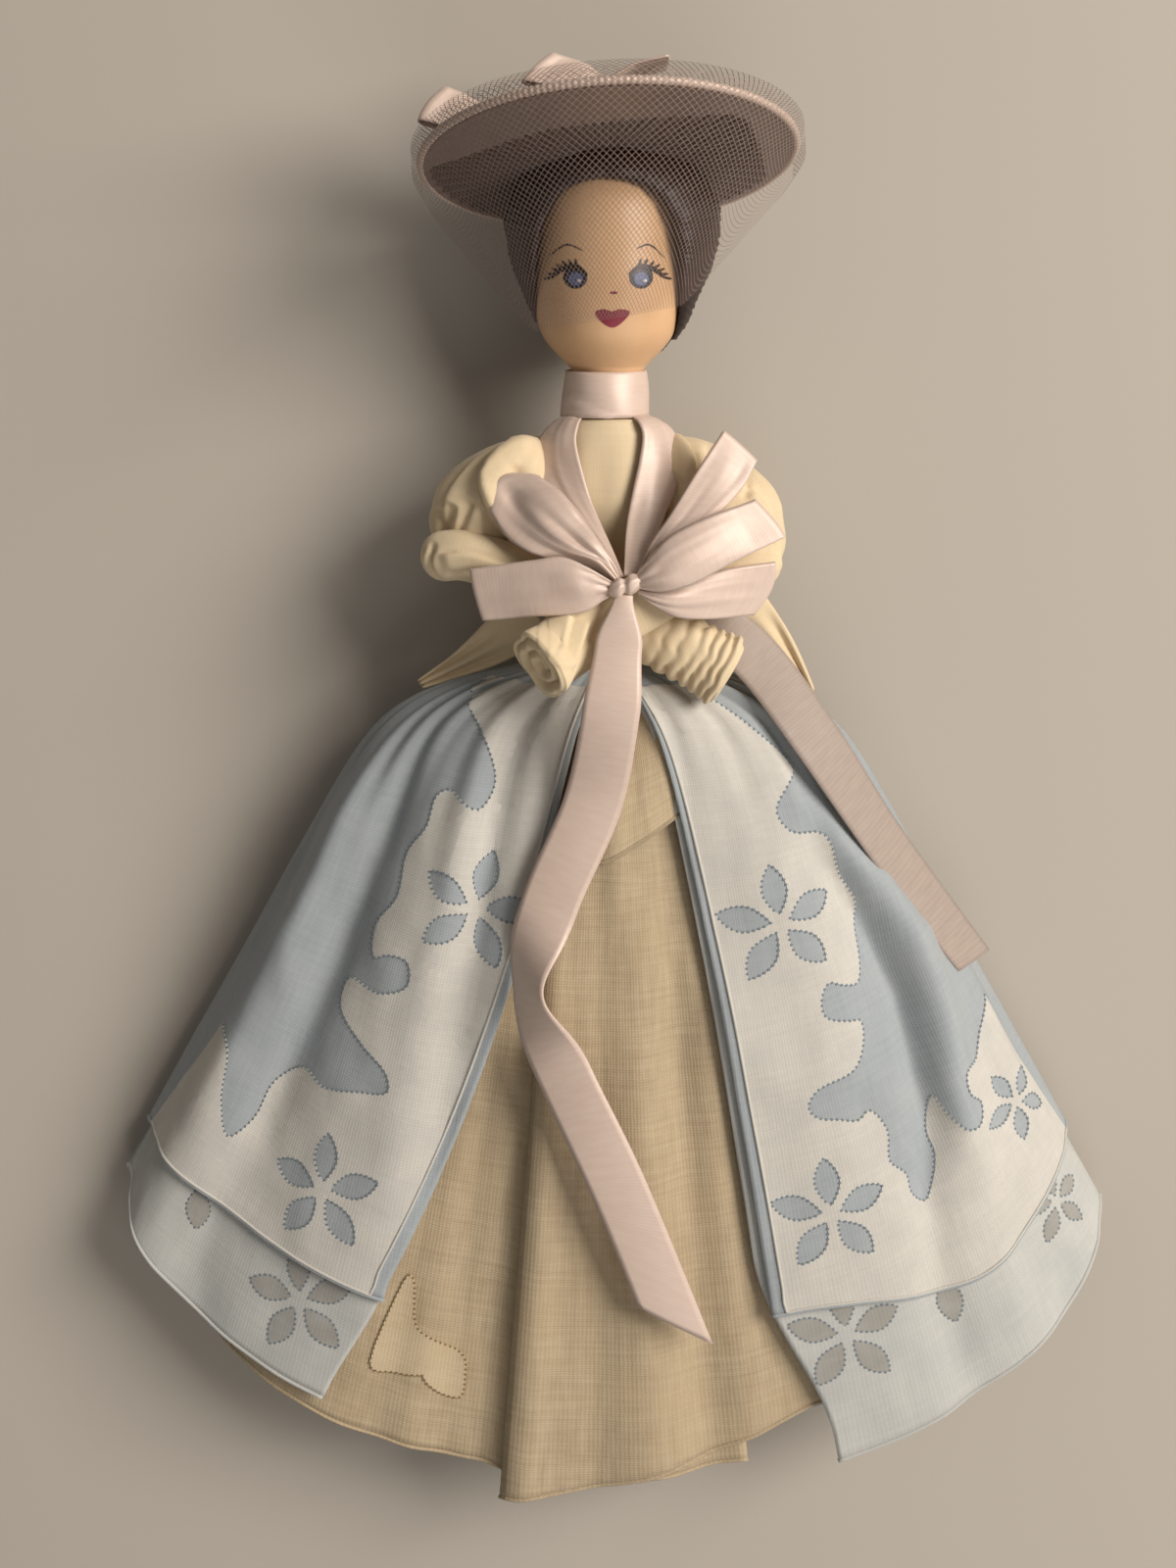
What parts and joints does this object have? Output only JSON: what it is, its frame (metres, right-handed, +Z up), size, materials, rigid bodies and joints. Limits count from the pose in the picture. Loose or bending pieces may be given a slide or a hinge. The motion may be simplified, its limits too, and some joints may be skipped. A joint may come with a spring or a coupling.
{
  "type": "handkerchief doll",
  "caption": "Doll with a painted wooden head, dressed in folded handkerchiefs, satin ribbon and a veiled hat, lying on its back as a keepsake.",
  "frame": {"origin": "on the flat back of the outer skirt, in the middle of the doll's width, on the table", "axes": "+X to the viewer's right, +Y from the hem towards the head, +Z up from the table out of the front"},
  "size_m": [0.2129, 0.2949, 0.0716],
  "materials": {
    "painted_wood": "painted flesh colour, satin",
    "bare_wood": "bare turned wood",
    "blue_lawn": "pale blue cotton lawn with white applique",
    "slub_linen": "natural slub linen",
    "binding_thread": "matt sewing thread",
    "cream_lawn": "cream cotton lawn",
    "satin_ribbon": "glossy pink satin ribbon",
    "wig_hair": "dark brown wool hair",
    "hat_satin": "mauve pink satin over a stiff base",
    "tulle_net": "fine open net"
  },
  "bodies": {
    "doll": {"overskirt_upper": "blue_lawn", "overskirt_lower": "blue_lawn", "underskirt": "slub_linen", "underskirt_flap": "slub_linen", "waist_thread": "binding_thread", "bodice": "cream_lawn", "sleeve_puff_left": "cream_lawn", "sleeve_puff_right": "cream_lawn", "forearm_left": "cream_lawn", "forearm_right": "cream_lawn", "peplum_left": "cream_lawn", "peplum_right": "cream_lawn", "neck_ribbon": "satin_ribbon", "lapel_left": "satin_ribbon", "lapel_right": "satin_ribbon", "bow_knot": "satin_ribbon", "bow_loop_left_lower": "satin_ribbon", "bow_loop_left_upper": "satin_ribbon", "bow_loop_right_middle": "satin_ribbon", "bow_loop_right_tall": "satin_ribbon", "bow_loop_right_lower": "satin_ribbon", "body_dowel": "bare_wood"},
    "head": {"head": "painted_wood", "hair": "wig_hair", "hat_brim": "hat_satin", "hat_crown": "hat_satin", "hat_edge": "satin_ribbon", "hat_loop_left": "satin_ribbon", "hat_loop_middle": "satin_ribbon", "hat_loop_right": "satin_ribbon", "veil_cap": "tulle_net"},
    "veil": {"veil_fall": "tulle_net"},
    "front_tail": {"front_tail": "satin_ribbon"},
    "side_tail": {"side_tail": "satin_ribbon"}
  },
  "joints": [
    {"name": "head_turn", "type": "hinge", "parent": "doll", "child": "head", "pos_m": [0, 0.14787, 0.02337], "axis": [0, 0.9972, 0.075], "range_deg": [-30, 30]},
    {"name": "veil_lift", "type": "hinge", "parent": "head", "child": "veil", "pos_m": [0, 0.21028, 0.07099], "axis": [-0.9984, -0.054, 0.0142], "range_deg": [0, 60]},
    {"name": "front_tail_lift", "type": "hinge", "parent": "doll", "child": "front_tail", "pos_m": [0.0029, 0.11699, 0.04602], "axis": [-1, 0, 0], "range_deg": [0, 75]},
    {"name": "side_tail_lift", "type": "hinge", "parent": "doll", "child": "side_tail", "pos_m": [0.024, 0.10925, 0.0302], "axis": [-0.7772, -0.6292, 0], "range_deg": [0, 30]}
  ]
}
